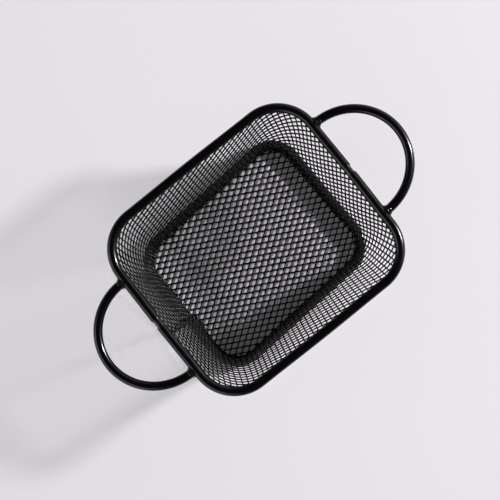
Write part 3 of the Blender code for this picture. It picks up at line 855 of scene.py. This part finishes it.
def add_node(tree, kind, inputs=(), **settings):
    """Adds a node, sets its properties, and gives each named input a value or a link from a socket."""
    node = tree.nodes.new(kind)
    for key, value in settings.items():
        setattr(node, key, value)
    for key, value in dict(inputs).items():
        if isinstance(value, bpy.types.NodeSocket):
            tree.links.new(value, node.inputs[key])
        else:
            node.inputs[key].default_value = value
    return node


def new_material(name):
    """A material and its node tree, which is empty."""
    material = bpy.data.materials.new(name)
    material.use_nodes = True
    material.node_tree.nodes.clear()
    return material, material.node_tree


def baked_enamel(name, dark, light, gloss, peel_size, peel_depth, shine):
    """Baked enamel. gloss is the roughness range, and peel_size and peel_depth the orange peel's."""
    material, tree = new_material(name)
    place = add_node(tree, "ShaderNodeTexCoord").outputs["Object"]
    cloud = add_node(tree, "ShaderNodeTexNoise", {
        "Vector": place,
        "Scale": 1 / CLOUD_SIZE,
        "Detail": 3.0,
    }).outputs["Fac"]
    peel = add_node(tree, "ShaderNodeTexNoise", {
        "Vector": place,
        "Scale": 1 / peel_size,
        "Detail": 2.0,
    }).outputs["Fac"]
    colour = add_node(tree, "ShaderNodeMix", {
        "Factor": cloud,
        6: linear(dark),
        7: linear(light),
    }, data_type="RGBA")
    rough = add_node(tree, "ShaderNodeMapRange", {
        "Value": cloud,
        "From Min": CLOUD_LOW,
        "From Max": CLOUD_HIGH,
        "To Min": gloss[0],
        "To Max": gloss[1],
    })
    bump = add_node(tree, "ShaderNodeBump", {"Height": peel, "Distance": peel_depth, "Strength": 1.0})
    shader = add_node(tree, "ShaderNodeBsdfPrincipled", {
        "Base Color": colour.outputs[2],
        "Roughness": rough.outputs["Result"],
        "Normal": bump.outputs["Normal"],
        "Specular IOR Level": shine,
    })
    add_node(tree, "ShaderNodeOutputMaterial", {"Surface": shader.outputs["BSDF"]})
    return material


print("black in linear light:", [round(v, 5) for v in linear("#020203")])

# %% The four finishes
# Black enamel on tube: rolled strip is smooth and the dipped coat flows out on it, so it mirrors
# lamp and floor as thin sharp lines.
tube_paint = baked_enamel(
    "baked_enamel_on_tube", "#020203", "#040405", gloss=(0.18, 0.25),
    peel_size=1.1 * MM, peel_depth=0.006 * MM, shine=0.3,
)
# Black enamel on wire: drawing leaves the steel smoother still, so the same coat is a touch glossier.
wire_paint = baked_enamel(
    "baked_enamel_on_wire", "#020203", "#040405", gloss=(0.16, 0.23),
    peel_size=1.1 * MM, peel_depth=0.006 * MM, shine=0.3,
)
# Black enamel on expanded mesh: it drains off the thin cut strands before it is baked, so the coat
# is thinner and its highlights are wider and duller.
mesh_paint = baked_enamel(
    "baked_enamel_on_mesh", "#020202", "#050405", gloss=(0.22, 0.30),
    peel_size=0.8 * MM, peel_depth=0.006 * MM, shine=0.22,
)
# Black enamel on weld: it pools on the rippled bead and bakes thick and shiny, so highlights break
# into small glints with a warm tint.
weld_paint = baked_enamel(
    "baked_enamel_on_weld", "#080606", "#120d0d", gloss=(0.14, 0.24),
    peel_size=0.9 * MM, peel_depth=0.03 * MM, shine=0.5,
)
print([paint.name for paint in (tube_paint, wire_paint, mesh_paint, weld_paint)])

# %% [markdown]
# ## What belongs to what
# Every new piece stands for the CAD solid in its place, which it hides, rides on the basket's one
# body and gets its enamel. Each row also names the solid's slot in the imported record.

# %% Bodies, replaced solids and finishes
ROLES = [
    (rim_back, "rim_half_back", "painted_tube", tube_paint),
    (rim_front, "rim_half_front", "painted_tube", tube_paint),
    (joint_right, "rim_joint_right", "painted_weld", weld_paint),
    (joint_left, "rim_joint_left", "painted_weld", weld_paint),
    (base_ring, "base_ring", "painted_tube", tube_paint),
    (wall, "wall_mesh", "painted_mesh", mesh_paint),
    (base, "base_mesh", "painted_mesh", mesh_paint),
    (handles["right"], "handle_right", "painted_wire", wire_paint),
    (handles["left"], "handle_left", "painted_wire", wire_paint),
    (spot_upper, "seam_weld_upper", "painted_weld", weld_paint),
    (spot_lower, "seam_weld_lower", "painted_weld", weld_paint),
]
for name, bead in handle_welds.items():
    ROLES.append((bead, f"handle_weld_{name}", "painted_weld", weld_paint))
for piece, node, slot, material in ROLES:
    piece.data.materials.append(material)
    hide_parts(node)
    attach(piece, "root")
print(len(ROLES), "pieces")

# %% [markdown]
# ## The floor
# The basket stands on a matt sheet of a very pale lilac. Beside so black an object a camera is set
# to show such paper almost white, with pale shadows. The plain paper would come out darker, so it
# also glows for camera and glossy rays. The glow grows from nothing at the base ring to full 22 mm
# outside it, so the floor under and round the basket is left darker: a painted shade. It sends the
# basket no diffuse light, but the enamel mirrors it. How far a point of the floor lies outside the
# ring is the distance to a rounded rectangle: fold the point into one quarter, take the half
# straights off, and measure what is left.

# %% Floor
FLOOR_HALF = 2.0
FIBRE_SIZE = 60 * MM
GLOW_SHARE = 0.7
GLOW_STRENGTH = 0.78
PAINTED_SHADE_REACH = 22 * MM

floor_points = np.array([[-1, -1, 0], [1, -1, 0], [1, 1, 0], [-1, 1, 0]]) * FLOOR_HALF
floor_mesh = bpy.data.meshes.new("floor")
floor_mesh.from_pydata(floor_points.tolist(), [], [(0, 1, 2, 3)])
floor = bpy.data.objects.new("floor", floor_mesh)
bpy.context.collection.objects.link(floor)


# Painted shade: no glow at the ring and little near it, so the floor under and round the basket stays
# darker.
def glow_past_painted_shade(tree, place):
    """The glow's share at a place on the floor, growing smoothly with the distance to the ring."""
    ring_corner = BASE_SIZE["corner_radius"] + RING_OUTSET
    half_size = np.array([BASE_SIZE["length"], BASE_SIZE["width"]]) / 2
    half_straights = (*(half_size - BASE_SIZE["corner_radius"]).tolist(), 0)
    quarter = add_node(tree, "ShaderNodeVectorMath", {0: place}, operation="ABSOLUTE").outputs[0]
    past = add_node(tree, "ShaderNodeVectorMath", {0: quarter, 1: half_straights}, operation="SUBTRACT")
    past = add_node(tree, "ShaderNodeVectorMath", {0: past.outputs[0], 1: (0, 0, 0)}, operation="MAXIMUM")
    distance = add_node(tree, "ShaderNodeVectorMath", {0: past.outputs[0]}, operation="LENGTH")
    return add_node(tree, "ShaderNodeMapRange", {
        "Value": distance.outputs["Value"],
        "From Min": ring_corner,
        "From Max": ring_corner + PAINTED_SHADE_REACH,
        "To Min": 0.0,
        "To Max": GLOW_SHARE,
    }, interpolation_type="SMOOTHSTEP").outputs["Result"]


# Pale paper: pressed fibres with no coating, which scatter light evenly and show no reflection.
paper, paper_tree = new_material("matt_pale_paper")
paper_place = add_node(paper_tree, "ShaderNodeTexCoord").outputs["Object"]
fibre = add_node(paper_tree, "ShaderNodeTexNoise", {
    "Vector": paper_place,
    "Scale": 1 / FIBRE_SIZE,
    "Detail": 4.0,
})
paper_colour = add_node(paper_tree, "ShaderNodeMix", {
    "Factor": fibre.outputs["Fac"],
    6: linear("#e3dee4"),
    7: linear("#e7e2e8"),
}, data_type="RGBA")
plain_paper = add_node(paper_tree, "ShaderNodeBsdfPrincipled", {
    "Base Color": paper_colour.outputs[2],
    "Roughness": 0.9,
    "Specular IOR Level": 0.1,
})
ray = add_node(paper_tree, "ShaderNodeLightPath").outputs
seen_or_mirrored = add_node(paper_tree, "ShaderNodeMath", {
    0: ray["Is Camera Ray"],
    1: ray["Is Glossy Ray"],
}, operation="MAXIMUM")
# The glow's share is low near the ring, which paints shade on the floor under and round the basket.
glow_share = add_node(paper_tree, "ShaderNodeMath", {
    0: glow_past_painted_shade(paper_tree, paper_place),
    1: seen_or_mirrored.outputs[0],
}, operation="MULTIPLY")
glow = add_node(paper_tree, "ShaderNodeEmission", {"Color": linear("#f2eff4"), "Strength": GLOW_STRENGTH})
glowing_paper = add_node(paper_tree, "ShaderNodeMixShader", {
    0: glow_share.outputs[0],
    1: plain_paper.outputs["BSDF"],
    2: glow.outputs["Emission"],
})
add_node(paper_tree, "ShaderNodeOutputMaterial", {"Surface": glowing_paper.outputs["Shader"]})
floor_mesh.materials.append(paper)
print("floor", 2 * FLOOR_HALF, "m wide")

# %% [markdown]
# ## The lamps
# One lamp stands to the right at about 28 degrees above the floor, so the mesh throws a long
# shadow to the left, soft at its far end because the lamp is 18 cm wide. A large weak one hangs
# overhead and only fills the shadows: it is hidden from glossy rays, or it would whiten the top
# of every tube.

# %% Lamps
KEY_WAY = direction(np.array([85.4, -28.0, 47.8]))
KEY_DISTANCE = 1.6
KEY_WIDTH = 0.18
KEY_WATTS = 53
OVERHEAD_HEIGHT = 1.3
OVERHEAD_WIDTH = 0.8
OVERHEAD_WATTS = 0.8


def add_disk_lamp(name, place, side_way, width, watts):
    """A round area lamp at a place, its -Z turned to the origin and its X along side_way."""
    data = bpy.data.lights.new(name, "AREA")
    data.shape = "DISK"
    data.size = width
    data.energy = watts
    lamp = bpy.data.objects.new(name, data)
    bpy.context.collection.objects.link(lamp)
    away = direction(place)
    top_way = np.cross(away, side_way)
    lamp.matrix_world = Matrix([*np.c_[side_way, top_way, away, place].tolist(), [0, 0, 0, 1]])
    return lamp


key_side = direction(np.cross([0, 0, 1.0], KEY_WAY))
add_disk_lamp("key_lamp", KEY_WAY * KEY_DISTANCE, key_side, KEY_WIDTH, KEY_WATTS)
overhead_place = np.array([0, 0, OVERHEAD_HEIGHT])
overhead_side = np.array([1.0, 0, 0])
overhead = add_disk_lamp("overhead_lamp", overhead_place, overhead_side, OVERHEAD_WIDTH, OVERHEAD_WATTS)
overhead.visible_glossy = False
print("the key lamp stands", round(np.degrees(np.arcsin(KEY_WAY[2])), 1), "degrees above the floor")

# %% [markdown]
# ## The room
# The rest of the light comes from the world. Two soft panels of light stand on the right and on
# the left, the left one brighter, and the ceiling is nearly dark, which keeps the top of the
# paint black. A direction belongs to a panel where it is low enough and not too far round to the
# front or back. The camera sees plain pale grey instead.

# %% World
ROOM_STRENGTH = 0.03
PANEL_STRENGTH_RIGHT = 1.0
PANEL_STRENGTH_LEFT = 2.6
PANEL_FULL_UP_TO = 0.45
PANEL_GONE_ABOVE = 0.7
PANEL_FULL_OUT_TO = 0.5
PANEL_GONE_BEYOND = 0.85
PANEL_MEETING = 0.2


def fading(tree, value, full, gone):
    """1 up to full and 0 from gone on, with a smooth step between."""
    return add_node(tree, "ShaderNodeMapRange", {
        "Value": value,
        "From Min": full,
        "From Max": gone,
        "To Min": 1.0,
        "To Max": 0.0,
    }, interpolation_type="SMOOTHSTEP").outputs["Result"]


world = bpy.data.worlds.new("studio")
world.use_nodes = True
world_tree = world.node_tree
world_tree.nodes.clear()
world_way = add_node(world_tree, "ShaderNodeTexCoord").outputs["Generated"]
axes = add_node(world_tree, "ShaderNodeSeparateXYZ", {"Vector": world_way}).outputs
round_to_front = add_node(world_tree, "ShaderNodeMath", {0: axes["Y"]}, operation="ABSOLUTE")
on_panel = add_node(world_tree, "ShaderNodeMath", {
    0: fading(world_tree, axes["Z"], PANEL_FULL_UP_TO, PANEL_GONE_ABOVE),
    1: fading(world_tree, round_to_front.outputs[0], PANEL_FULL_OUT_TO, PANEL_GONE_BEYOND),
}, operation="MULTIPLY")
panel_strength = add_node(world_tree, "ShaderNodeMapRange", {
    "Value": axes["X"],
    "From Min": -PANEL_MEETING,
    "From Max": PANEL_MEETING,
    "To Min": PANEL_STRENGTH_LEFT,
    "To Max": PANEL_STRENGTH_RIGHT,
})
strength = add_node(world_tree, "ShaderNodeMapRange", {
    "Value": on_panel.outputs[0],
    "To Min": ROOM_STRENGTH,
    "To Max": panel_strength.outputs["Result"],
})
light = add_node(world_tree, "ShaderNodeBackground", {
    "Color": linear("#f6f4f8"),
    "Strength": strength.outputs["Result"],
})
pale = add_node(world_tree, "ShaderNodeBackground", {"Color": linear("#e6e3e8"), "Strength": 1.0})
sky = add_node(world_tree, "ShaderNodeMixShader", {
    0: add_node(world_tree, "ShaderNodeLightPath").outputs["Is Camera Ray"],
    1: light.outputs["Background"],
    2: pale.outputs["Background"],
})
add_node(world_tree, "ShaderNodeOutputWorld", {"Surface": sky.outputs["Shader"]})
bpy.context.scene.world = world
bpy.context.scene.view_settings.view_transform = "Standard"
print("light panels, right and left:", PANEL_STRENGTH_RIGHT, PANEL_STRENGTH_LEFT)
